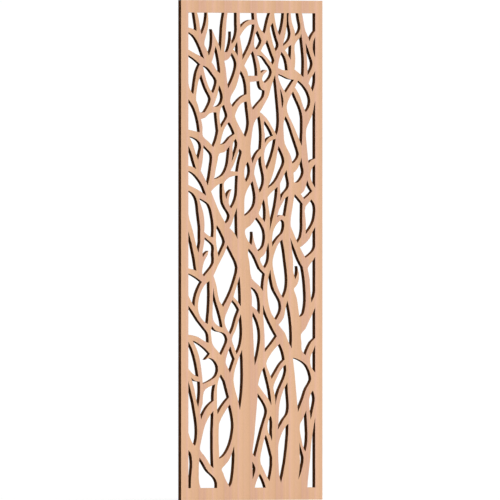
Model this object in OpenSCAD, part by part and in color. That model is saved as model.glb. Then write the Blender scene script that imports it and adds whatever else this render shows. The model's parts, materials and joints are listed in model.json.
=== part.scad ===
// Fretwork wood panel: a tall flat board of seven glued plies, pierced right
// through with openings that leave a wind-blown tree standing in a plain border.
// Millimetres. The width runs along X, the height along +Z, the front faces -Y.

/* [Panel] */
// Width of the whole panel
panel_w = 600; // [400:1:1200]
// Height of the whole panel
panel_h = 1830; // [1200:1:2400]

/* [Border] */
// Plain wood left down each side
side_border = 31; // [20:1:60]
// Plain wood left above the openings
top_border = 46; // [20:1:90]
// Plain wood left below the openings
bottom_border = 45; // [20:1:90]

/* [Board] */
// Thickness of each face veneer
veneer_t = 0.8; // [0.6:0.1:2]
// Thickness of each of the five inner plies
ply_t = 3.88; // [2:0.01:6]

/* [Fretwork] */
// Turn of a curved cut between two of its points, in degrees
turn_step = 15; // [10:1:40]

/* [Hidden] */

board_t = 2 * veneer_t + 5 * ply_t;

// The openings, each walked round point by point as [across, up] on a drawing
// at full size. The saw runs in a smooth curve through a point, and turns
// sharply at a point marked with a third value of 1. Points on the outermost
// lines of the drawing lie on the panel's border.
crown_left = [
  [[31, 1784, 1], [56, 1784, 1], [60, 1760], [65, 1730], [65, 1716, 1], [48, 1725], [31, 1729, 1]],
  [[68, 1784, 1], [109, 1784, 1], [107, 1762], [99, 1730], [86, 1704, 1], [81, 1725], [77, 1750]],
  [[113, 1784, 1], [183, 1784, 1], [174, 1730], [171, 1680], [168, 1642, 1], [161, 1664],
    [150, 1685], [130, 1724, 1], [132, 1686], [128, 1654], [117, 1627, 1], [108, 1650],
    [99, 1666], [100, 1682], [112, 1722], [115, 1742]],
  [[197, 1784, 1], [235, 1784, 1], [235, 1740], [233, 1704], [224, 1682], [214, 1671, 1],
    [212, 1690], [211, 1716, 1], [206, 1684], [201, 1652], [195, 1641], [183, 1641, 1],
    [189, 1700], [193, 1758]],
  [[237, 1679, 1], [240, 1656], [240, 1626, 1], [229, 1642], [220, 1650, 1], [229, 1663]],
  [[249, 1784, 1], [308, 1784, 1], [310, 1759, 1], [290, 1758], [270, 1748], [252, 1730, 1],
    [250, 1745]],
  [[311, 1741, 1], [290, 1740], [270, 1725], [249, 1697, 1], [254, 1670], [260, 1640],
    [260, 1612, 1], [273, 1634], [293, 1671], [303, 1702]],
  [[31, 1713, 1], [50, 1702], [72, 1673], [87, 1642], [98, 1615, 1], [84, 1624], [62, 1633],
    [46, 1641], [31, 1649, 1]],
  [[31, 1628, 1], [54, 1615], [80, 1595, 1], [67, 1569], [59, 1532], [52, 1486, 1], [40, 1500],
    [31, 1526, 1]],
  [[146, 1662, 1], [155, 1633], [162, 1598], [166, 1562, 1], [150, 1574], [140, 1590],
    [129, 1602, 1], [136, 1620], [142, 1645]],
  [[214, 1637, 1], [226, 1620], [234, 1598], [229, 1570], [216, 1538], [199, 1507, 1],
    [194, 1540], [190, 1575], [183, 1608, 1], [199, 1614]],
  [[92, 1590, 1], [111, 1583], [132, 1560], [150, 1536], [144, 1508], [135, 1489, 1],
    [121, 1505], [107, 1537], [98, 1568]],
  [[85, 1558, 1], [95, 1530], [112, 1494], [125, 1470], [114, 1440], [100, 1420, 1],
    [80, 1420], [74, 1437], [64, 1462], [66, 1495], [73, 1531]],
  [[252, 1573, 1], [266, 1551], [275, 1520], [277, 1486, 1], [262, 1480], [240, 1463],
    [219, 1439, 1], [208, 1460], [211, 1477], [228, 1504], [240, 1533], [248, 1559]],
  [[304, 1645, 1], [314, 1614], [321, 1580], [323, 1554, 1], [304, 1554], [285, 1552, 1],
    [279, 1572], [268, 1590, 1], [280, 1612], [294, 1632]]
];

crown_right = [
  [[320, 1784, 1], [377, 1784, 1], [367, 1756], [359, 1724], [354, 1709, 1], [342, 1719],
    [329, 1738], [322, 1765]],
  [[323, 1720, 1], [331, 1704], [341, 1682, 1], [331, 1661], [320, 1650, 1], [311, 1660],
    [310, 1680], [314, 1706]],
  [[389, 1748, 1], [396, 1720], [406, 1688], [413, 1668], [401, 1644, 1], [391, 1667],
    [380, 1708], [377, 1730]],
  [[395, 1784, 1], [436, 1784, 1], [433, 1756], [426, 1724], [418, 1702, 1], [410, 1718],
    [402, 1742], [397, 1766]],
  [[448, 1784, 1], [457, 1784, 1], [456, 1745], [464, 1710], [459, 1689], [446, 1674],
    [431, 1664, 1], [440, 1697], [446, 1726], [448, 1750]],
  [[465, 1784, 1], [497, 1784, 1], [501, 1758], [506, 1731], [500, 1715], [484, 1700, 1],
    [481, 1722], [472, 1744], [467, 1766]],
  [[513, 1784, 1], [569, 1784, 1], [569, 1720, 1], [556, 1704], [545, 1681, 1], [539, 1698],
    [528, 1718], [519, 1757]],
  [[364, 1686, 1], [376, 1658], [388, 1628], [395, 1611], [388, 1595, 1], [372, 1613],
    [354, 1630], [338, 1645, 1], [347, 1662], [359, 1674]],
  [[425, 1642, 1], [440, 1623], [449, 1596], [452, 1574, 1], [432, 1575], [411, 1583, 1],
    [414, 1606], [421, 1629]],
  [[467, 1668, 1], [466, 1640], [465, 1613, 1], [455, 1629], [441, 1648, 1], [454, 1660]],
  [[510, 1708, 1], [514, 1680], [520, 1630], [521, 1590], [519, 1550, 1], [500, 1565],
    [481, 1578, 1], [484, 1625], [482, 1667], [494, 1685], [504, 1694]],
  [[528, 1676, 1], [539, 1652], [550, 1624], [558, 1600], [551, 1577], [537, 1557, 1],
    [536, 1585], [534, 1620], [530, 1655]],
  [[569, 1697, 1], [569, 1622, 1], [559, 1652], [561, 1678]],
  [[321, 1628, 1], [343, 1625], [363, 1603], [380, 1581], [384, 1570], [376, 1547],
    [355, 1528, 1], [344, 1539], [347, 1554], [357, 1565], [366, 1571, 1], [358, 1576],
    [348, 1571], [338, 1564, 1], [336, 1580], [330, 1605]],
  [[413, 1561, 1], [436, 1552], [457, 1543], [479, 1540, 1], [462, 1518], [444, 1493, 1],
    [431, 1508], [419, 1531], [412, 1550]],
  [[569, 1573, 1], [569, 1540, 1], [564, 1513], [558, 1497, 1], [549, 1515], [541, 1527, 1],
    [551, 1547], [562, 1560]]
];

bough_left = [
  [[31, 1467, 1], [52, 1441], [69, 1400], [79, 1346, 1], [31, 1356, 1]],
  [[160, 1520, 1], [170, 1500], [176, 1472], [166, 1449], [150, 1440], [136, 1441, 1],
    [146, 1463], [154, 1485]],
  [[182, 1447, 1], [189, 1428], [196, 1405], [184, 1385], [170, 1363, 1], [164, 1390],
    [164, 1418], [171, 1438]],
  [[149, 1419, 1], [152, 1390], [157, 1352], [150, 1322], [136, 1292, 1], [115, 1313],
    [92, 1333], [91, 1360], [84, 1394, 1], [102, 1400], [120, 1415]],
  [[203, 1384, 1], [214, 1368], [227, 1341, 1], [206, 1328], [185, 1306], [166, 1302, 1],
    [174, 1336], [188, 1367]],
  [[278, 1459, 1], [282, 1425], [287, 1385], [282, 1352], [271, 1329, 1], [250, 1363],
    [235, 1388], [228, 1407, 1], [241, 1436], [258, 1454]],
  [[35, 1331, 1], [56, 1325], [76, 1313], [84, 1300], [79, 1268], [72, 1245, 1], [62, 1268],
    [50, 1303], [42, 1318]],
  [[31, 1296, 1], [41, 1278], [53, 1243], [64, 1212, 1], [48, 1220], [31, 1224, 1]],
  [[95, 1299, 1], [113, 1283], [130, 1264], [129, 1232], [122, 1188], [113, 1152, 1],
    [99, 1179], [83, 1205, 1], [90, 1235], [94, 1270]],
  [[205, 1297, 1], [202, 1260], [194, 1219], [176, 1190], [140, 1175, 1], [146, 1208],
    [155, 1245], [162, 1268], [185, 1275]],
  [[231, 1323, 1], [238, 1305], [232, 1280], [214, 1238, 1], [218, 1262], [218, 1288],
    [220, 1307]],
  [[247, 1286, 1], [256, 1277], [252, 1256], [240, 1202, 1], [209, 1205, 1], [224, 1230],
    [240, 1268]],
  [[282, 1239, 1], [290, 1220], [291, 1198], [283, 1176], [275, 1165, 1], [269, 1184],
    [270, 1215]]
];

bough_right = [
  [[331, 1535, 1], [332, 1524], [342, 1504], [354, 1500, 1], [350, 1478], [330, 1456],
    [304, 1429, 1], [295, 1460], [293, 1500], [292, 1531, 1]],
  [[398, 1557, 1], [404, 1515], [411, 1450], [415, 1390], [412, 1360], [405, 1337, 1],
    [384, 1369], [362, 1399], [334, 1421, 1], [353, 1450], [373, 1484], [382, 1515],
    [389, 1532]],
  [[419, 1508, 1], [429, 1484], [434, 1460], [428, 1435, 1], [425, 1465]],
  [[475, 1497, 1], [487, 1473], [508, 1430], [515, 1400], [515, 1350], [512, 1297, 1],
    [498, 1328], [475, 1376], [452, 1419], [448, 1441], [458, 1470]],
  [[496, 1537, 1], [520, 1518], [538, 1494], [548, 1463], [542, 1438], [529, 1421, 1],
    [518, 1443], [505, 1478], [483, 1511, 1], [490, 1526]],
  [[569, 1462, 1], [569, 1251, 1], [556, 1247], [541, 1234, 1], [538, 1255], [532, 1310],
    [532, 1362], [545, 1389], [559, 1418], [564, 1443]],
  [[443, 1406, 1], [457, 1382], [475, 1335], [494, 1286], [499, 1265], [490, 1247],
    [472, 1233, 1], [461, 1269], [440, 1305], [435, 1345], [436, 1388]],
  [[333, 1406, 1], [338, 1375], [341, 1340], [338, 1287, 1], [319, 1268], [303, 1234, 1],
    [294, 1280], [299, 1330], [307, 1373], [321, 1398]],
  [[353, 1389, 1], [369, 1369], [389, 1334, 1], [373, 1328], [355, 1306, 1], [355, 1340],
    [351, 1374]],
  [[401, 1323, 1], [395, 1293], [384, 1257], [363, 1210, 1], [357, 1227], [352, 1258],
    [358, 1290], [377, 1313]],
  [[413, 1297, 1], [429, 1269], [438, 1239], [424, 1208], [402, 1170], [384, 1153], [367, 1143, 1],
    [381, 1172], [395, 1211], [406, 1262]],
  [[338, 1260, 1], [340, 1230], [350, 1190], [350, 1160], [333, 1126, 1], [320, 1162],
    [310, 1193], [314, 1222], [324, 1245]],
  [[511, 1254, 1], [515, 1225], [520, 1202], [509, 1177], [492, 1163], [479, 1164, 1],
    [477, 1199, 1], [492, 1212], [503, 1232]],
  [[569, 1230, 1], [569, 1145, 1], [556, 1165], [549, 1190], [554, 1212]]
];

middle_left = [
  [[31, 1204, 1], [42, 1201], [66, 1183], [88, 1156], [106, 1114, 1], [86, 1128], [58, 1142],
    [31, 1154, 1]],
  [[31, 1133, 1], [50, 1123], [63, 1106], [73, 1056], [81, 1000], [81, 945], [74, 907, 1],
    [64, 932], [50, 985], [36, 1026], [31, 1046, 1]],
  [[78, 1105, 1], [97, 1096], [117, 1083], [130, 1050], [137, 1012], [136, 962, 1],
    [117, 968], [98, 982, 1], [99, 1015], [92, 1060], [80, 1092]],
  [[175, 1160, 1], [174, 1115], [178, 1087], [190, 1066], [205, 1043], [200, 1024],
    [189, 1013, 1],
    [166, 1048], [145, 1090], [127, 1130, 1], [144, 1146], [159, 1156]],
  [[240, 1188, 1], [238, 1150], [235, 1115], [222, 1082], [211, 1068, 1], [202, 1088],
    [205, 1113], [214, 1138, 1], [203, 1129], [192, 1103, 1], [185, 1128], [182, 1160],
    [204, 1181]],
  [[303, 1168, 1], [311, 1137], [315, 1110], [309, 1077], [292, 1056], [268, 1040, 1],
    [268, 1085], [274, 1123], [290, 1152]],
  [[236, 1070, 1], [237, 1035], [239, 956, 1], [225, 978], [205, 996, 1], [217, 1018],
    [226, 1044]],
  [[318, 1035, 1], [336, 1016], [353, 985], [355, 955], [345, 924], [326, 911, 1],
    [321, 920], [311, 955], [303, 983, 1], [302, 955], [299, 935, 1], [283, 950],
    [273, 992], [292, 1004], [308, 1021]],
  [[151, 1006, 1], [162, 993], [176, 969], [185, 945], [177, 925], [159, 891, 1],
    [153, 915], [148, 950], [148, 985]],
  [[100, 962, 1], [118, 949], [137, 932], [137, 900], [138, 869], [117, 841], [97, 819, 1],
    [91, 827], [91, 850], [102, 882], [113, 899], [116, 913, 1], [104, 904], [92, 890, 1],
    [91, 908], [97, 938]],
  [[31, 984, 1], [44, 941], [57, 886], [65, 840, 1], [48, 845], [31, 849, 1]]
];

middle_right = [
  [[447, 1209, 1], [452, 1185], [456, 1148], [450, 1138], [436, 1124], [421, 1096, 1],
    [421, 1130], [420, 1160], [431, 1181]],
  [[536, 1172, 1], [544, 1150], [557, 1132, 1], [540, 1116], [522, 1103, 1], [508, 1121, 1],
    [521, 1132], [530, 1153]],
  [[409, 1147, 1], [406, 1110], [392, 1045], [375, 985, 1], [376, 1045], [368, 1088],
    [367, 1110, 1], [380, 1124], [396, 1137]],
  [[350, 1102, 1], [355, 1084], [358, 1058], [357, 1030], [354, 1018, 1], [343, 1032],
    [329, 1049], [337, 1068], [344, 1088]],
  [[455, 1114, 1], [451, 1090], [441, 1038, 1], [425, 1044], [408, 1037, 1], [416, 1065],
    [430, 1088], [440, 1104]],
  [[426, 1027, 1], [435, 1020], [437, 1005], [434, 988], [429, 977, 1], [402, 951],
    [387, 928, 1], [386, 950], [391, 985], [408, 1013]],
  [[482, 1121, 1], [498, 1105], [515, 1086, 1], [514, 1025], [508, 962], [494, 942, 1],
    [482, 967], [465, 1003], [471, 1062], [479, 1108]],
  [[553, 1101, 1], [566, 1084], [569, 1050], [562, 1019], [528, 974, 1], [529, 1020],
    [528, 1075], [545, 1093]],
  [[569, 1001, 1], [569, 930, 1], [563, 915], [548, 901], [528, 887, 1], [515, 907],
    [504, 925, 1], [530, 943], [546, 959], [558, 982]],
  [[429, 954, 1], [438, 912], [444, 868], [450, 820], [447, 772], [432, 739, 1],
    [412, 773], [397, 820], [388, 875], [397, 907], [416, 942]]
];

branch_left = [
  [[31, 830, 1], [46, 824], [88, 799, 1], [75, 778], [62, 745], [57, 709, 1], [42, 729],
    [31, 750, 1]],
  [[120, 802, 1], [121, 755], [118, 690], [113, 645, 1], [90, 661], [74, 690], [75, 735],
    [88, 770], [106, 793]],
  [[138, 779, 1], [142, 745], [156, 704], [170, 660], [175, 632, 1], [157, 638],
    [136, 660], [134, 700], [135, 750]],
  [[197, 934, 1], [219, 896], [239, 852], [230, 813], [213, 768], [178, 708, 1],
    [163, 728], [151, 780], [137, 821, 1], [159, 863], [181, 900]],
  [[248, 819, 1], [252, 770], [253, 709, 1], [239, 728], [222, 744, 1], [232, 775],
    [241, 798]],
  [[217, 732, 1], [235, 714], [246, 696, 1], [233, 667], [223, 635], [209, 607, 1],
    [192, 630], [184, 660], [195, 690], [209, 718]],
  [[253, 682, 1], [256, 655], [258, 605], [253, 572], [235, 534, 1], [224, 563],
    [215, 589], [229, 618], [240, 648]],
  [[31, 712, 1], [47, 693], [73, 657], [98, 629], [110, 616], [116, 576, 1], [98, 583],
    [73, 597], [31, 606, 1]],
  [[131, 638, 1], [145, 622], [171, 615, 1], [187, 607], [196, 588], [188, 565],
    [169, 531, 1], [154, 547], [134, 570], [128, 600], [126, 622]]
];

branch_right = [
  [[286, 921, 1], [311, 893], [327, 861], [335, 846], [346, 836], [355, 828, 1], [350, 800], [347, 765, 1],
    [330, 786], [300, 811], [294, 830], [289, 875], [283, 905]],
  [[369, 943, 1], [373, 905], [369, 873], [355, 849, 1], [344, 861], [335, 884],
    [352, 898], [363, 920]],
  [[379, 844, 1], [383, 808], [396, 766], [421, 725], [424, 705], [402, 659, 1],
    [382, 686], [370, 725], [366, 785], [372, 822]],
  [[295, 780, 1], [311, 772], [327, 750], [334, 715], [332, 680, 1], [319, 698],
    [300, 711, 1], [300, 745]],
  [[304, 688, 1], [318, 665], [331, 632], [335, 600], [329, 550], [312, 492, 1],
    [309, 540], [305, 620], [302, 668]],
  [[347, 716, 1], [356, 690], [374, 653], [406, 600, 1], [383, 572], [355, 542, 1],
    [354, 600], [348, 680]],
  [[451, 730, 1], [460, 694], [468, 640], [470, 590], [469, 555, 1], [456, 578],
    [441, 611], [413, 642, 1], [435, 668], [443, 702]],
  [[463, 961, 1], [484, 914], [499, 880], [516, 853], [523, 815], [528, 760], [526, 705],
    [515, 676], [502, 671, 1], [498, 695], [487, 750], [479, 773], [491, 787], [500, 812],
    [500, 828], [493, 857, 1], [492, 825], [484, 808, 1], [475, 838], [475, 875],
    [471, 912]],
  [[569, 891, 1], [569, 765, 1], [565, 745], [553, 723, 1], [549, 760], [546, 805],
    [541, 832], [537, 848, 1], [548, 865], [560, 878]],
  [[569, 706, 1], [569, 593, 1], [552, 578], [541, 560], [528, 530, 1], [512, 548],
    [511, 575], [509, 607], [528, 627], [546, 661], [559, 684]]
];

lower_left = [
  [[31, 580, 1], [45, 557], [61, 513], [70, 472], [73, 452, 1], [56, 459], [42, 470],
    [31, 482, 1]],
  [[49, 585, 1], [80, 570], [122, 536, 1], [102, 514, 1], [118, 520], [130, 518],
    [146, 506], [156, 485], [150, 458], [123, 438], [92, 426, 1], [86, 478], [76, 528],
    [60, 566]],
  [[43, 449, 1], [56, 439], [79, 434, 1], [80, 395], [72, 340, 1], [64, 368], [56, 408],
    [48, 434]],
  [[31, 436, 1], [41, 402], [53, 356], [62, 309], [67, 275], [68, 245], [65, 218],
    [59, 200, 1], [46, 214], [38, 229], [31, 248, 1]],
  [[145, 425, 1], [139, 398], [138, 364, 1], [117, 348], [101, 328], [85, 296, 1],
    [81, 318], [91, 353], [96, 396], [103, 406], [130, 419]],
  [[168, 461, 1], [185, 436], [196, 400], [203, 376, 1], [181, 353], [155, 315, 1],
    [152, 340], [152, 395], [157, 435]],
  [[209, 563, 1], [216, 541], [227, 517, 1], [216, 489], [207, 466, 1], [197, 486],
    [189, 502], [193, 526], [200, 546]],
  [[258, 550, 1], [261, 510], [262, 460], [259, 395], [249, 329, 1], [240, 370],
    [222, 438], [226, 470], [240, 510]]
];

lower_right = [
  [[418, 572, 1], [430, 549], [439, 514, 1], [424, 501], [408, 479], [384, 443, 1],
    [373, 468], [361, 500], [376, 529], [398, 555]],
  [[353, 487, 1], [365, 445], [377, 398], [383, 346, 1], [370, 370], [346, 397],
    [326, 422, 1], [334, 452], [343, 474]],
  [[444, 496, 1], [446, 475], [436, 443], [416, 404], [400, 347, 1], [397, 385],
    [391, 412], [404, 443], [430, 484]],
  [[569, 566, 1], [569, 467, 1], [552, 488], [548, 504], [551, 530], [562, 549]],
  [[474, 521, 1], [503, 512], [530, 495], [548, 462], [552, 440], [534, 411],
    [517, 369], [496, 322, 1], [491, 370], [482, 460]],
  [[559, 400, 1], [567, 372], [562, 340], [550, 292, 1], [545, 335], [544, 370],
    [551, 388]]
];

root_left = [
  [[207, 351, 1], [212, 334], [218, 308], [222, 275], [219, 245], [210, 210], [196, 181],
    [180, 162], [162, 152, 1], [161, 175], [159, 215], [159, 255], [161, 280], [172, 303],
    [184, 321], [196, 338]],
  [[137, 327, 1], [136, 295], [134, 250], [134, 190], [135, 150], [137, 118, 1],
    [124, 129], [113, 145], [97, 165], [80, 186], [83, 208], [91, 240], [99, 268],
    [108, 288], [121, 309]],
  [[31, 184, 1], [39, 176], [45, 155], [47, 133], [45, 108], [42, 80], [41, 45, 1],
    [31, 45, 1]],
  [[78, 157, 1], [92, 138], [116, 104], [142, 82], [151, 66], [152, 45, 1], [83, 45, 1],
    [77, 65], [75, 90], [75, 125]],
  [[224, 198, 1], [226, 170], [224, 125], [219, 82], [214, 62], [206, 48, 1], [195, 65],
    [186, 81], [179, 98], [172, 113], [185, 128], [199, 142], [211, 162], [219, 182]]
];

root_right = [
  [[324, 391, 1], [343, 368], [361, 338], [364, 325], [356, 296], [343, 259], [329, 210],
    [321, 181], [314, 158, 1], [303, 172], [304, 190], [309, 222], [313, 262], [317, 305],
    [321, 345], [324, 376]],
  [[380, 308, 1], [386, 285], [385, 255], [386, 230], [385, 216, 1], [378, 234],
    [370, 247], [366, 268], [370, 290]],
  [[451, 430, 1], [452, 399], [455, 370], [455, 328], [450, 312], [436, 296], [426, 280],
    [410, 257, 1], [413, 285], [414, 320], [420, 363], [429, 386], [438, 409]],
  [[531, 327, 1], [533, 295], [536, 245], [535, 215], [531, 190], [527, 176, 1],
    [518, 194], [511, 220], [505, 248], [505, 278], [516, 295], [525, 315]],
  [[569, 302, 1], [569, 45, 1], [536, 45, 1], [538, 70], [543, 110], [548, 150],
    [551, 195], [556, 232], [563, 270]],
  [[302, 140, 1], [309, 130], [315, 115], [312, 99], [303, 76, 1], [303, 100],
    [302, 120]],
  [[334, 97, 1], [350, 69], [359, 45, 1], [312, 45, 1], [319, 67], [327, 84]],
  [[359, 239, 1], [367, 220], [376, 190], [386, 156], [386, 128], [381, 95],
    [375, 69, 1], [362, 88], [350, 111], [338, 132], [336, 156], [342, 184], [349, 212]],
  [[455, 279, 1], [454, 240], [449, 190], [442, 140], [433, 98], [424, 63, 1],
    [417, 87], [414, 120], [412, 170], [413, 203], [422, 232], [436, 259], [446, 271]],
  [[502, 209, 1], [511, 182], [519, 158], [518, 135], [509, 102], [497, 74, 1],
    [502, 105], [505, 140], [503, 170]]
];

openings = concat(
  crown_left, crown_right, bough_left, bough_right, middle_left, middle_right,
  branch_left, branch_right, lower_left, lower_right, root_left, root_right
);

// Extent of the drawing, from its own outermost points
across = [for (o = openings) for (p = o) p[0]];
up = [for (o = openings) for (p = o) p[1]];
drawn_left = min(across);
drawn_right = max(across);
drawn_bottom = min(up);
drawn_top = max(up);

// A point of the drawing fitted between the panel's border lines
stretch_x = (panel_w - 2 * side_border) / (drawn_right - drawn_left);
stretch_z = (panel_h - top_border - bottom_border) / (drawn_top - drawn_bottom);
function fitted(p) = [
  side_border - panel_w / 2 + (p[0] - drawn_left) * stretch_x,
  bottom_border + (p[1] - drawn_bottom) * stretch_z
];

function sharp(p) = len(p) == 3;
function around(list, i) = list[(i + len(list)) % len(list)];

// Slope of the cut at point i, from the two stretches that meet there
function slope(list, i) =
  let(
    before = fitted(list[i]) - fitted(around(list, i - 1)),
    after = fitted(around(list, i + 1)) - fitted(list[i]),
    b = norm(before),
    a = norm(after)
  )
  (before * a / b + after * b / a) / (a + b);

// Angle between two directions, in degrees
function turn(u, v) = acos(max(-1, min(1, (u * v) / (norm(u) * norm(v)))));

// Point of the curved stretch from p to q that leaves along u and arrives along v
function on_curve(p, q, u, v, s) =
  (1 + 2 * s) * (1 - s) * (1 - s) * p + s * (1 - s) * (1 - s) * u
  + s * s * (3 - 2 * s) * q - s * s * (1 - s) * v;

// Points of the cut from point i up to the next point, the last one left out.
// Next to a sharp turn the curve straightens out.
function stretch(list, i) =
  let(
    from = list[i],
    to = around(list, i + 1),
    p = fitted(from),
    q = fitted(to),
    run = norm(q - p),
    u0 = sharp(from) ? q - p : run * slope(list, i),
    v0 = sharp(to) ? q - p : run * slope(list, (i + 1) % len(list)),
    u = sharp(from) ? 1.5 * (q - p) - 0.5 * v0 : u0,
    v = sharp(to) ? 1.5 * (q - p) - 0.5 * u0 : v0,
    parts = max(1, ceil((turn(u, q - p) + turn(q - p, v)) / turn_step))
  )
  [for (k = [0 : parts - 1]) on_curve(p, q, u, v, k / parts)];

function outline(list) = [for (i = [0 : len(list) - 1]) each stretch(list, i)];

// One sheet of the board, front side at y, cut through with every opening
module fretted_sheet(y, t) {
  translate([0, y + t, 0])
    rotate([90, 0, 0])
      linear_extrude(height = t)
        difference() {
          translate([-panel_w / 2, 0])
            square([panel_w, panel_h]);
          for (o = openings)
            polygon(outline(o));
        }
}

// Front side of an inner ply, counted from 0 behind the front veneer
function ply_front(i) = -board_t / 2 + veneer_t + i * ply_t;

module front_veneer() {
  color([0.89, 0.71, 0.58])
    fretted_sheet(-board_t / 2, veneer_t);
}

module front_crossband() {
  color([0.22, 0.14, 0.09])
    fretted_sheet(ply_front(0), ply_t);
}

module front_core() {
  color([0.28, 0.18, 0.12])
    fretted_sheet(ply_front(1), ply_t);
}

module centre_crossband() {
  color([0.22, 0.14, 0.09])
    fretted_sheet(ply_front(2), ply_t);
}

module rear_core() {
  color([0.28, 0.18, 0.12])
    fretted_sheet(ply_front(3), ply_t);
}

module rear_crossband() {
  color([0.22, 0.14, 0.09])
    fretted_sheet(ply_front(4), ply_t);
}

module rear_veneer() {
  color([0.89, 0.71, 0.58])
    fretted_sheet(ply_front(5), veneer_t);
}

front_veneer();
front_crossband();
front_core();
centre_crossband();
rear_core();
rear_crossband();
rear_veneer();
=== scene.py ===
"""Dresses the fretted plywood panel: seven glued sheets, their veneer and cut edges, whose dark
brown is partly browning by the cutter and partly painted shade.

It stands on a plain floor in a plain studio.
"""

import json
import logging
import math
from dataclasses import dataclass, field
from enum import Enum

import bmesh
import bpy
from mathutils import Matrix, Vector

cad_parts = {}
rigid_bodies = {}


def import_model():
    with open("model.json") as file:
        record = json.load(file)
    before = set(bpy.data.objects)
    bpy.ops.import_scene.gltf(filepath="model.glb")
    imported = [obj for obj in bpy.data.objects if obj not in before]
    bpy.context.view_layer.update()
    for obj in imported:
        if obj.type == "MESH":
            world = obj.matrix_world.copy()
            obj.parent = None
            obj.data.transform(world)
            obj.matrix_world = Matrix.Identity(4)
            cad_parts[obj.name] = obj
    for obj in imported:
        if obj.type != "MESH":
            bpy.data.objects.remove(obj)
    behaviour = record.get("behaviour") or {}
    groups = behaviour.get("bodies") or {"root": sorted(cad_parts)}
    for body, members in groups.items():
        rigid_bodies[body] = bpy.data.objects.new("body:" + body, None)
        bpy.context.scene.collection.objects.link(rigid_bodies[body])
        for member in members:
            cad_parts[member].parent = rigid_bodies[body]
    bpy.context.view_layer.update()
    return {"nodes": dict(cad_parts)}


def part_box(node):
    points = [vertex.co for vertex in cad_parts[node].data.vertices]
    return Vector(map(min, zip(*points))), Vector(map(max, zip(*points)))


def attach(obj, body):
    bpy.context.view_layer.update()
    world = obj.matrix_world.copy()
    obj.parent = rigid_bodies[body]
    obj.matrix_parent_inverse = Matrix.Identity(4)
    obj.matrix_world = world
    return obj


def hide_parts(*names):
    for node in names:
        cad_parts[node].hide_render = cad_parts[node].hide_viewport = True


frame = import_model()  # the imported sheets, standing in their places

LOG = logging.getLogger("panel")
BODY = "root"
FLAT = 0.9  # a face whose normal has more than this of Y lies flat in the board
HAIR = 1e-6  # a length too small to matter, in metres

Colour = tuple[float, float, float]
Size3 = tuple[float, float, float]
Span = tuple[float, float]
Outline = list[tuple[float, float]]
Socket = bpy.types.NodeSocket
Value = float | Socket
Paint = Colour | Socket


class Grain(Enum):
    """The way the fibres of a sheet run."""

    UPRIGHT = "up the height"
    CROSSWISE = "across the width"


class Side(Enum):
    """The face of the board that a sheet lies towards, as the sign of its Y direction."""

    FRONT = -1
    REAR = 1
    INSIDE = 0


# ---------------------------------------------------------------- finishes


@dataclass(frozen=True)
class Blots:
    """A cloudy pattern: the size of its blots and how fine it is inside them."""

    size: Size3  # a blot's size along X, Y and Z, in metres
    detail: float = 2.0  # how many finer patterns lie on the first
    rough: float = 0.5  # how strong the finer patterns are
    share: float = 0.0  # how much the pattern counts among others that it is added to


class NodeDesk:
    """A node tree that is laid out by short calls."""

    def __init__(self, owner: bpy.types.Material | bpy.types.World, output: str) -> None:
        """Empties the owner's node tree and gives it an output.

        Args:
            owner: the material or world.
            output: the output node's type.
        """
        owner.use_nodes = True
        self.tree = owner.node_tree
        self.tree.nodes.clear()
        self.out = self.tree.nodes.new(output)

    def feed(self, node: bpy.types.Node, key: int | str, value: Value | Paint) -> None:
        """Puts a number, a colour or a link into a node's input.

        Args:
            node: the node to feed.
            key: the input's place in the node, or its name.
            value: a number, a colour or another node's output.
        """
        if isinstance(value, Socket):
            self.tree.links.new(value, node.inputs[key])
        elif isinstance(value, tuple):
            node.inputs[key].default_value = (*value, 1.0)
        else:
            node.inputs[key].default_value = value

    def node(self, kind: str, **values: Value | Paint) -> bpy.types.Node:
        """Adds a node.

        Args:
            kind: the node's type.
            values: its inputs' names, with underscores for spaces, and what goes into them.

        Returns:
            The node.
        """
        node = self.tree.nodes.new(kind)
        for name, value in values.items():
            self.feed(node, name.replace("_", " "), value)
        return node

    def sum(self, op: str, a: Value, b: Value, c: float = 0.0) -> Socket:
        """Does one sum.

        Args:
            op: the operation's name.
            a: the first value.
            b: the second value.
            c: the third value, where the operation has one.

        Returns:
            The result.
        """
        node = self.tree.nodes.new("ShaderNodeMath")
        node.operation = op
        for index, value in enumerate((a, b, c)):
            self.feed(node, index, value)
        return node.outputs[0]


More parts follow.
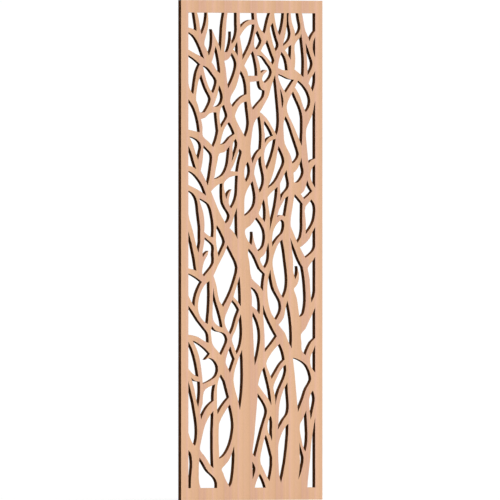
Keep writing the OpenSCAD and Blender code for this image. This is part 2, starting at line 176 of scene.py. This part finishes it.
class FinishDesk(NodeDesk):
    """A material whose nodes are laid out by short calls."""

    def __init__(self, name: str) -> None:
        """Starts an empty material with a shader on its output.

        Args:
            name: the material's name.
        """
        self.material = bpy.data.materials.new(name)
        super().__init__(self.material, "ShaderNodeOutputMaterial")
        self.shader = self.node("ShaderNodeBsdfPrincipled")
        self.feed(self.out, "Surface", self.shader.outputs["BSDF"])
        self.place = self.node("ShaderNodeTexCoord").outputs["Object"]

    def set(self, **values: Value) -> None:
        """Sets the shader's own inputs.

        Args:
            values: the inputs' names, with underscores for spaces, and what goes into them.
        """
        for name, value in values.items():
            self.feed(self.shader, name.replace("_", " "), value)

    def leaf_place(self, width: float) -> tuple[Socket, Socket]:
        """Repeats the place from leaf to leaf of a slip-matched veneer.

        Args:
            width: a leaf's width, in metres.

        Returns:
            The place on its leaf, and the way across the leaf, from 0 to its width.
        """
        spot = self.node("ShaderNodeSeparateXYZ", Vector=self.place).outputs
        across = self.sum("WRAP", spot["X"], width, 0.0)
        joined = self.node("ShaderNodeCombineXYZ", X=across, Y=spot["Y"], Z=spot["Z"])
        return joined.outputs[0], across

    def speckle(self, blots: Blots, shift: Size3, place: Socket | None = None) -> Socket:
        """Makes a cloudy pattern whose blots have a given real size.

        Args:
            blots: what the pattern is like.
            shift: how far it is moved, in blots.
            place: the place to read instead of the object's own.

        Returns:
            The pattern's value, from 0 to 1 and mostly near a half.
        """
        mapping = self.node("ShaderNodeMapping", Vector=place or self.place)
        mapping.inputs["Scale"].default_value = tuple(1.0 / size for size in blots.size)
        mapping.inputs["Location"].default_value = shift
        noise = self.node("ShaderNodeTexNoise", Vector=mapping.outputs["Vector"], Scale=1.0,
                          Detail=blots.detail, Roughness=blots.rough)
        return noise.outputs["Fac"]

    def spread(self, value: Socket, low: float, high: float, to_low: float = 0.0,
               to_high: float = 1.0) -> Socket:
        """Stretches a range of a pattern over another range, and holds it there.

        Args:
            value: the pattern.
            low: the value that becomes to_low.
            high: the value that becomes to_high.
            to_low: the new low end.
            to_high: the new high end.

        Returns:
            The stretched pattern.
        """
        node = self.tree.nodes.new("ShaderNodeMapRange")
        node.interpolation_type = "SMOOTHSTEP"
        for index, item in enumerate((value, low, high, to_low, to_high)):
            self.feed(node, index, item)
        return node.outputs[0]

    def tint(self, share: Value, under: Paint, over: Paint, blend: str = "MIX") -> Socket:
        """Lays one colour over another.

        Args:
            share: how much of the upper colour shows.
            under: the colour underneath.
            over: the colour on top.
            blend: how the upper colour is laid on.

        Returns:
            The mixed colour.
        """
        node = self.tree.nodes.new("ShaderNodeMix")
        node.data_type, node.blend_type = "RGBA", blend
        for index, item in ((0, share), (6, under), (7, over)):  # the inputs that take colours
            self.feed(node, index, item)
        return node.outputs[2]

    def relief(self, height: Socket, depth: float, strength: float) -> None:
        """Gives the surface a fine relief.

        Args:
            height: the pattern of high and low places.
            depth: the relief's depth, in metres.
            strength: how much of it shows, up to 1.
        """
        bump = self.node("ShaderNodeBump", Height=height, Distance=depth, Strength=strength)
        self.set(Normal=bump.outputs["Normal"])


@dataclass(frozen=True)
class VeneerFinish:
    """The sanded, clear-coated face: slip-matched leaves with straight streaks up the height."""

    seed: float = 0.0  # moves the streaks, so that the two faces aren't alike
    hue_seed: float = 0.0  # moves the changes of hue
    seed_step: Size3 = (7.3, 0.0, 3.1)  # how far one step of a seed moves a pattern, in blots
    pale: Colour = (0.822, 0.507, 0.334)
    deep: Colour = (0.659, 0.374, 0.242)
    straw: Colour = (1.0, 1.0, 0.89)  # the hues that the streaks change between
    blush: Colour = (0.985, 0.965, 1.03)
    pore: Colour = (0.420, 0.205, 0.105)
    leaf_width: float = 0.109
    swell: float = 0.12  # how much paler a leaf is in its middle than at its joints
    balance: float = 0.5  # the wood's mean place between deep and pale
    broad_streak: Blots = Blots((0.019, 0.019, 9.0), detail=1.0, share=0.9)
    fine_streak: Blots = Blots((0.0075, 0.0075, 7.0), rough=0.6, share=0.55)
    fibre: Blots = Blots((0.0011, 0.0011, 0.060), rough=0.6, share=0.3)
    cloud: Blots = Blots((0.20, 0.20, 0.50), detail=1.0, share=0.1)
    hue_streak: Blots = Blots((0.014, 0.014, 9.0), detail=1.0)
    hue_span: Span = (0.32, 0.68)  # the pattern's values from straw to blush
    pores: Blots = Blots((0.00032, 0.00032, 0.0055), detail=0.0)
    pore_span: Span = (0.62, 0.74)  # the pattern's values from closed to open
    pore_share: float = 0.45
    gloss_span: Span = (0.3, 0.7)  # the fibre pattern's values from rougher to smoother
    roughness: Span = (0.58, 0.48)
    fibre_height: float = 0.35  # the fibres' relief, against the depth of a pore
    relief_depth: float = 0.00008
    relief_strength: float = 0.45

    def shift(self, seed: float) -> Size3:
        """Gives how far a seed moves a pattern, in blots."""
        return tuple(seed * step for step in self.seed_step)

    def make(self) -> bpy.types.Material:
        """Lays out the material.

        Returns:
            The material.
        """
        desk = FinishDesk(f"face_veneer_{int(self.seed)}")
        shift = self.shift(self.seed)
        leaf, across = desk.leaf_place(self.leaf_width)
        hue = desk.speckle(self.hue_streak, self.shift(self.hue_seed), leaf)
        fibre = desk.speckle(self.fibre, shift)
        pores = desk.speckle(self.pores, shift)
        figure = desk.sum("COSINE", desk.sum("MULTIPLY", across, math.tau / self.leaf_width), 0.0)
        figure = desk.sum("MULTIPLY_ADD", figure, -self.swell, self.balance)
        for blots, pattern in ((self.broad_streak, desk.speckle(self.broad_streak, shift, leaf)),
                               (self.fine_streak, desk.speckle(self.fine_streak, shift, leaf)),
                               (self.fibre, fibre),
                               (self.cloud, desk.speckle(self.cloud, shift))):
            middled = desk.sum("SUBTRACT", pattern, 0.5)
            figure = desk.sum("ADD", figure, desk.sum("MULTIPLY", middled, blots.share))
        figure = desk.sum("MAXIMUM", desk.sum("MINIMUM", figure, 1.0), 0.0)
        wood = desk.tint(figure, self.deep, self.pale)
        hues = desk.tint(desk.spread(hue, *self.hue_span), self.straw, self.blush)
        wood = desk.tint(1.0, wood, hues, "MULTIPLY")
        open_pores = desk.spread(pores, *self.pore_span)
        wood = desk.tint(desk.sum("MULTIPLY", open_pores, self.pore_share), wood, self.pore)
        desk.set(Base_Color=wood, Roughness=desk.spread(fibre, *self.gloss_span, *self.roughness))
        desk.set(IOR=1.45, Coat_Weight=0.06, Coat_Roughness=0.38)
        height = desk.sum("SUBTRACT", desk.sum("MULTIPLY", fibre, self.fibre_height), open_pores)
        desk.relief(height, self.relief_depth, self.relief_strength)
        return desk.material


@dataclass(frozen=True)
class CutEdgeFinish:
    """The cut edge of a sheet, with fibres along or across it; its dark brown is partly browning by
    the cutter and partly painted shade.
    """

    name: str
    grain: Grain
    pale: Colour
    deep: Colour
    # the darkest brown: partly the cutter's char, partly painted shade
    scorch_and_shade: Colour = (0.0305, 0.0127, 0.0057)
    fibre_width: float = 0.0006
    fibre_length: float = 0.011
    fibre_rough: float = 0.6
    fibre_shift: Size3 = (2.0, 5.0, 1.0)
    fibre_span: Span = (0.36, 0.64)  # the pattern's values from deep to pale
    marks: Blots = Blots((0.0012, 0.060, 0.0012), rough=0.55)  # left by the cutter
    marks_shift: Size3 = (4.0, 0.0, 9.0)
    marks_span: Span = (0.40, 0.66)  # the pattern's values from bare to marked
    marks_share: float = 0.40
    patch: Blots = Blots((0.030, 0.012, 0.030))
    patch_shift: Size3 = (1.0, 3.0, 8.0)
    patch_span: Span = (0.40, 0.70)  # the pattern's values from plain to the darkest brown
    patch_share: float = 0.45
    gloss_span: Span = (0.3, 0.7)  # the patch pattern's values from rougher to smoother
    roughness: Span = (0.72, 0.58)
    relief_depth: float = 0.00012
    relief_strength: float = 0.5

    def make(self) -> bpy.types.Material:
        """Lays out the material.

        Returns:
            The material.
        """
        desk = FinishDesk(self.name)
        width, length = self.fibre_width, self.fibre_length
        upright = self.grain is Grain.UPRIGHT
        lie = (width, width, length) if upright else (length, width, width)
        fibre = desk.speckle(Blots(lie, rough=self.fibre_rough), self.fibre_shift)
        marks = desk.speckle(self.marks, self.marks_shift)
        patch = desk.speckle(self.patch, self.patch_shift)
        brown = desk.tint(desk.spread(fibre, *self.fibre_span), self.deep, self.pale)
        for pattern, span, share in ((marks, self.marks_span, self.marks_share),
                                     (patch, self.patch_span, self.patch_share)):
            brown = desk.tint(desk.spread(pattern, *span, 0.0, share), brown, self.scorch_and_shade)
        desk.set(Base_Color=brown, Roughness=desk.spread(patch, *self.gloss_span, *self.roughness))
        desk.set(IOR=1.40, Specular_IOR_Level=0.0)
        desk.relief(desk.sum("ADD", fibre, marks), self.relief_depth, self.relief_strength)
        return desk.material


# ---------------------------------------------------------------- modelling


class Bench:
    """The few handlings that every sheet is made with."""

    @staticmethod
    def clear() -> None:
        """Deselects everything and leaves edit mode."""
        if bpy.context.object is not None and bpy.context.object.mode != "OBJECT":
            bpy.ops.object.mode_set(mode="OBJECT")
        for item in bpy.context.scene.objects:
            item.select_set(False)

    @staticmethod
    def take(item: bpy.types.Object) -> None:
        """Makes one object the only selected and active one.

        Args:
            item: the object to work on.
        """
        Bench.clear()
        item.select_set(True)
        bpy.context.view_layer.objects.active = item

    @staticmethod
    def put(name: str, mesh: bpy.types.Mesh) -> bpy.types.Object:
        """Stands a mesh in the scene and takes it in hand.

        Args:
            name: the object's name.
            mesh: its mesh.

        Returns:
            The new object, at the origin.
        """
        item = bpy.data.objects.new(name, mesh)
        bpy.context.scene.collection.objects.link(item)
        Bench.take(item)
        return item


@dataclass
class SawLine:
    """The closed lines of a sheet: its own edge and every opening sawn through it."""

    corner_deg: float = 17.0  # a sharper turn than this is a corner and stays one
    step_deg: float = 4.0  # a curve turns by no more than this from point to point
    merge: float = 1e-5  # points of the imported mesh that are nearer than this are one

    def read(self, node: str) -> list[Outline]:
        """Reads the outlines of a packed sheet, each with the wood on its left from the front.

        Args:
            node: the sheet's name in the frame.

        Returns:
            The outlines as closed lists of X and Z in metres.
        """
        copy = Bench.put("saw_line", frame["nodes"][node].data.copy())
        bpy.ops.object.mode_set(mode="EDIT")
        bpy.ops.mesh.select_all(action="SELECT")
        bpy.ops.mesh.remove_doubles(threshold=self.merge)
        bpy.ops.object.mode_set(mode="OBJECT")
        mesh = copy.data
        front = [tuple(piece.vertices) for piece in mesh.polygons if piece.normal.y < -FLAT]
        ways = {(face[i - 1], face[i]) for face in front for i in range(len(face))}
        following = {a: b for a, b in sorted(ways) if (b, a) not in ways}
        outlines: list[Outline] = []
        while following:
            here = min(following)
            line: Outline = []
            while here in following:
                line.append((mesh.vertices[here].co.x, mesh.vertices[here].co.z))
                here = following.pop(here)
            outlines.append(line)
        bpy.data.objects.remove(copy)
        bpy.data.meshes.remove(mesh)
        return outlines

    def fair(self, line: Outline) -> Outline:
        """Draws a smooth curve through the points of an outline and keeps its corners.

        An edge that is true to the board's own edges stays straight.

        Args:
            line: the closed outline.

        Returns:
            The outline with more points, all on the curve.
        """
        points = [Vector(point) for point in line]
        count = len(points)
        chords = [points[(i + 1) % count] - points[i] for i in range(count)]
        lengths = [chord.length for chord in chords]
        ways = [chord / length for chord, length in zip(chords, lengths)]
        straight = [min(abs(chord.x), abs(chord.y)) < HAIR for chord in chords]
        smooth: list[bool] = []
        slopes: list[Vector] = []
        for i in range(count):
            turn = math.degrees(abs(ways[i - 1].angle_signed(ways[i])))
            smooth.append(turn < self.corner_deg and not (straight[i - 1] or straight[i]))
            near, far = lengths[i - 1], lengths[i]
            slopes.append((far * ways[i - 1] + near * ways[i]) / (near + far))
        out: Outline = []
        for i in range(count):
            j = (i + 1) % count
            out.append(tuple(points[i]))
            if smooth[i] or smooth[j]:
                first = slopes[i] if smooth[i] else 2 * ways[i] - slopes[j]
                last = slopes[j] if smooth[j] else 2 * ways[i] - slopes[i]
                out += self._curve(points[i], points[j], first, last, lengths[i])
        return out

    def _curve(self, start: Vector, end: Vector, first: Vector, last: Vector,
               chord: float) -> Outline:
        """Finds the points of a curve between two points of an outline.

        Args:
            start: the point that it leaves.
            end: the point that it reaches.
            first: the way that it leaves in.
            last: the way that it arrives in.
            chord: the distance between the two points.

        Returns:
            The points between them, without the two.
        """
        bend = math.degrees(abs(first.angle_signed(last)))
        steps = math.ceil(bend / self.step_deg)
        out: Outline = []
        for step in range(1, steps):
            t = step / steps
            leaving = start * (1 + 2 * t) * (1 - t) ** 2 + first * chord * t * (1 - t) ** 2
            reaching = end * t * t * (3 - 2 * t) - last * chord * t * t * (1 - t)
            out.append(tuple(leaving + reaching))
        return out

    def shrink(self, line: Outline, depth: float) -> Outline:
        """Moves an outline into the wood.

        Args:
            line: the closed outline, with the wood on its left.
            depth: how far, in metres.

        Returns:
            The moved outline.
        """
        points = [Vector(point) for point in line]
        out: Outline = []
        for i, point in enumerate(points):
            before = (point - points[i - 1]).normalized()
            after = (points[(i + 1) % len(points)] - point).normalized()
            way = before + after
            inward = Vector((-way.y, way.x)).normalized()
            out.append(tuple(point + inward * depth))
        return out


@dataclass
class PlySheet:
    """One sheet of the plywood, fretted right through."""

    node: str
    slot: str
    edge: CutEdgeFinish
    side: Side = Side.INSIDE
    face: VeneerFinish | None = None
    recess: float = 0.0  # how far the cutter has worn this sheet's edge back
    arris: float = 0.00025  # the sanded corner between face and cut edge
    saw: SawLine = field(default_factory=SawLine)
    smooth_deg: float = 30.0  # walls that meet at less than this are shaded as one curve

    def build(self, finishes: dict[str, bpy.types.Material]) -> bpy.types.Object:
        """Models the sheet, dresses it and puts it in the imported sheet's place.

        Args:
            finishes: the cut-edge materials that are made already, by name.

        Returns:
            The finished piece.
        """
        low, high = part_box(self.node)
        outlines = [self.saw.fair(line) for line in self.saw.read(self.node)]
        if self.recess:
            outlines = [self.saw.shrink(line, self.recess) for line in outlines]
        sheet = self._fill(outlines, high.y if self.side is Side.FRONT else low.y)
        self._thicken(high.y - low.y)
        if self.side is not Side.INSIDE:
            self._ease(sheet, low.y if self.side is Side.FRONT else high.y)
        self._dress(sheet, finishes)
        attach(sheet, BODY)
        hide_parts(self.node)
        return sheet

    def _fill(self, outlines: list[Outline], depth: float) -> bpy.types.Object:
        """Fills the wood between the outlines.

        Args:
            outlines: the closed lines.
            depth: the Y at which they lie.

        Returns:
            The flat sheet, in edit mode with all of it selected.
        """
        points: list[Size3] = []
        edges: list[tuple[int, int]] = []
        for line in outlines:
            first = len(points)
            points += [(x, depth, z) for x, z in line]
            edges += [(first + i, first + (i + 1) % len(line)) for i in range(len(line))]
        mesh = bpy.data.meshes.new(self.node + "_fretted")
        mesh.from_pydata(points, edges, [])
        sheet = Bench.put(self.node + "_fretted", mesh)
        bpy.ops.object.mode_set(mode="EDIT")
        bpy.ops.mesh.select_mode(type="EDGE")
        bpy.ops.mesh.select_all(action="SELECT")
        bpy.ops.mesh.fill()
        return sheet

    def _thicken(self, thickness: float) -> None:
        """Gives the flat sheet its thickness, away from the side that it was filled on.

        Args:
            thickness: the sheet's thickness, in metres.
        """
        travel = thickness
        if self.side is not Side.INSIDE:
            travel = (thickness - self.arris) * self.side.value
        bpy.ops.mesh.select_mode(type="FACE")
        bpy.ops.mesh.select_all(action="SELECT")
        bpy.ops.mesh.extrude_region_move(TRANSFORM_OT_translate={"value": (0.0, travel, 0.0)})
        bpy.ops.mesh.select_all(action="SELECT")
        bpy.ops.mesh.normals_make_consistent(inside=False)

    def _ease(self, sheet: bpy.types.Object, face_y: float) -> None:
        """Sands the corner between the outer face and the cut edges.

        Args:
            sheet: the sheet, in edit mode.
            face_y: the Y of the outer face.
        """
        draft = bmesh.from_edit_mesh(sheet.data)
        near = face_y - self.arris * self.side.value
        for piece in draft.faces:
            outermost = abs(piece.calc_center_median().y - near) < HAIR
            piece.select_set(outermost and abs(piece.normal.y) > FLAT)
        bmesh.update_edit_mesh(sheet.data)
        bpy.ops.mesh.inset(thickness=self.arris, depth=self.arris, use_even_offset=False)

    def _dress(self, sheet: bpy.types.Object, finishes: dict[str, bpy.types.Material]) -> None:
        """Gives the sheet its finishes and smooths its curved edges.

        Args:
            sheet: the sheet.
            finishes: the cut-edge materials that are made already, by name.
        """
        bpy.ops.object.mode_set(mode="OBJECT")
        if self.edge.name not in finishes:
            finishes[self.edge.name] = self.edge.make()
        sheet.data.materials.append(finishes[self.edge.name])
        if self.face is not None:
            sheet.data.materials.append(self.face.make())
            for piece in sheet.data.polygons:
                # the sanded arris takes the cut edge's dark brown, which is partly painted shade
                # and widens the dark line along each opening
                piece.material_index = int(piece.normal.y * self.side.value > FLAT)
        bpy.ops.object.shade_smooth_by_angle(angle=math.radians(self.smooth_deg))


@dataclass
class FrettedBoard:
    """The seven sheets, glued face to face with their grain crossed."""

    crossband_recess: float = 0.00012
    front_face: VeneerFinish = VeneerFinish(seed=25.0, hue_seed=49.0)
    rear_face: VeneerFinish = VeneerFinish(seed=62.0, hue_seed=5.0)
    # the cut edges' dark browns: partly browning by the cutter, partly painted shade
    core_edge: CutEdgeFinish = CutEdgeFinish(
        "core_edge", Grain.UPRIGHT, pale=(0.198, 0.0762, 0.0305), deep=(0.1245, 0.0464, 0.0180))
    crossband_edge: CutEdgeFinish = CutEdgeFinish(
        "crossband_edge", Grain.CROSSWISE,
        pale=(0.1054, 0.0394, 0.0155), deep=(0.0622, 0.0226, 0.0086))
    veneer_edge: CutEdgeFinish = CutEdgeFinish(
        "veneer_edge", Grain.UPRIGHT, pale=(0.1905, 0.0711, 0.0254), deep=(0.1194, 0.0432, 0.0152))

    def sheets(self) -> list[PlySheet]:
        """Lists the sheets from the front to the back.

        Returns:
            The sheets, not yet built.
        """
        skin = {"slot": "face_veneer", "edge": self.veneer_edge}
        band = {"slot": "crossband", "edge": self.crossband_edge, "recess": self.crossband_recess}
        heart = {"slot": "core_ply", "edge": self.core_edge}
        return [
            PlySheet("front_veneer", side=Side.FRONT, face=self.front_face, **skin),
            PlySheet("front_crossband", **band),
            PlySheet("front_core", **heart),
            PlySheet("centre_crossband", **band),
            PlySheet("rear_core", **heart),
            PlySheet("rear_crossband", **band),
            PlySheet("rear_veneer", side=Side.REAR, face=self.rear_face, **skin),
        ]

    def build(self) -> None:
        """Builds every sheet and reports it."""
        finishes: dict[str, bpy.types.Material] = {}
        for sheet in self.sheets():
            piece = sheet.build(finishes)
            LOG.info("%s: %d faces", piece.name, len(piece.data.polygons))


# ---------------------------------------------------------------- studio


@dataclass
class Studio:
    """A plain pale floor, an even white room and two broad soft lamps."""

    floor_radius: float = 1.25
    floor_depth: float = 0.001
    floor_points: int = 128
    floor_tone: Colour = (0.18, 0.18, 0.18)
    floor_lift: float = 0.70  # what the camera sees on top of the light, so bare floor is white
    room_below: float = 0.05  # the room's light from straight below, and from straight above
    room_above: float = 0.50
    room_white: float = 1.02  # what the camera sees behind the object
    key_light: float = 3.26
    key_from: Size3 = (0.20, -1.0, 1.10)
    back_light: float = 3.00
    back_from: Size3 = (0.20, 1.0, 1.10)
    lamp_angle_deg: float = 70.0

    def build(self) -> None:
        """Builds the floor, the room and the lamps."""
        self._floor()
        self._room()
        self._lamp("key_lamp", self.key_from, self.key_light)
        self._lamp("back_lamp", self.back_from, self.back_light)

    def _floor(self) -> None:
        """Lays the round floor plate, its top at height 0."""
        Bench.clear()
        bpy.ops.mesh.primitive_cylinder_add(
            vertices=self.floor_points, radius=self.floor_radius, depth=self.floor_depth,
            location=(0.0, 0.0, -self.floor_depth / 2))
        floor = bpy.context.object
        floor.name = "floor"
        bpy.ops.object.transform_apply(location=True, rotation=True, scale=True)
        paint = bpy.data.materials.new("floor_paint")
        desk = NodeDesk(paint, "ShaderNodeOutputMaterial")
        seen = desk.node("ShaderNodeLightPath").outputs["Is Camera Ray"]
        matt = desk.node("ShaderNodeBsdfDiffuse", Color=self.floor_tone)
        glow = desk.node("ShaderNodeEmission", Strength=desk.sum("MULTIPLY", seen, self.floor_lift))
        both = desk.node("ShaderNodeAddShader")
        for index, part in enumerate((matt, glow)):
            desk.feed(both, index, part.outputs[0])
        desk.feed(desk.out, "Surface", both.outputs[0])
        floor.data.materials.append(paint)

    def _room(self) -> None:
        """Makes the room: even light on the object, plain white behind it."""
        room = bpy.data.worlds.new("room")
        bpy.context.scene.world = room
        desk = NodeDesk(room, "ShaderNodeOutputWorld")
        rays = desk.node("ShaderNodeLightPath").outputs
        seen = rays["Is Camera Ray"]
        for name in ("Is Glossy Ray", "Is Transmission Ray"):
            seen = desk.sum("MAXIMUM", seen, rays[name])
        way = desk.node("ShaderNodeTexCoord").outputs["Generated"]
        upward = desk.node("ShaderNodeSeparateXYZ", Vector=way).outputs["Z"]
        light = desk.node("ShaderNodeMapRange", Value=upward, From_Min=-1.0, From_Max=1.0,
                          To_Min=self.room_below, To_Max=self.room_above).outputs[0]
        level = desk.node("ShaderNodeMapRange", Value=seen, To_Min=light, To_Max=self.room_white)
        white = desk.node("ShaderNodeBackground", Color=(1.0, 1.0, 1.0), Strength=level.outputs[0])
        desk.feed(desk.out, "Surface", white.outputs[0])

    def _lamp(self, name: str, come_from: Size3, strength: float) -> None:
        """Hangs a broad, far lamp.

        Args:
            name: the lamp's name.
            come_from: the direction that its light comes from.
            strength: its light, in watts per square metre.
        """
        data = bpy.data.lights.new(name, "SUN")
        data.energy = strength
        data.angle = math.radians(self.lamp_angle_deg)
        lamp = bpy.data.objects.new(name, data)
        bpy.context.scene.collection.objects.link(lamp)
        lamp.rotation_mode = "QUATERNION"
        lamp.rotation_quaternion = (-Vector(come_from)).to_track_quat("-Z", "Y")


@dataclass
class PhotoCamera:
    """A far camera with a long lens, so that the panel is seen almost without perspective."""

    azimuth_deg: float = -30.35
    distance: float = 78.0
    half_frame: float = 0.9157  # half of what the frame shows at the panel, in metres
    aim_height: float = 0.91575
    aim_aside: float = -0.0017
    sensor: float = 36.0  # in millimetres, as the lens is

    def build(self) -> None:
        """Sets the camera up and makes it the scene's own."""
        turn = math.radians(self.azimuth_deg)
        back = Vector((math.sin(turn), -math.cos(turn), 0.0))
        right = Vector((math.cos(turn), math.sin(turn), 0.0))
        aim = right * self.aim_aside + Vector((0.0, 0.0, self.aim_height))
        data = bpy.data.cameras.new("photo_camera")
        data.sensor_width = self.sensor
        data.lens = self.sensor / 2 * self.distance / self.half_frame
        data.clip_start, data.clip_end = self.distance / 2, self.distance * 2
        camera = bpy.data.objects.new("photo_camera", data)
        bpy.context.scene.collection.objects.link(camera)
        camera.location = aim + back * self.distance
        camera.rotation_mode = "QUATERNION"
        camera.rotation_quaternion = (-back).to_track_quat("-Z", "Y")
        bpy.context.scene.camera = camera


def main() -> None:
    """Builds the camera, the board and the studio."""
    logging.basicConfig(level=logging.INFO, format="%(name)s: %(message)s")
    bpy.context.scene.view_settings.view_transform = "Standard"
    PhotoCamera().build()
    FrettedBoard().build()
    Studio().build()


if __name__ == "__main__":
    main()
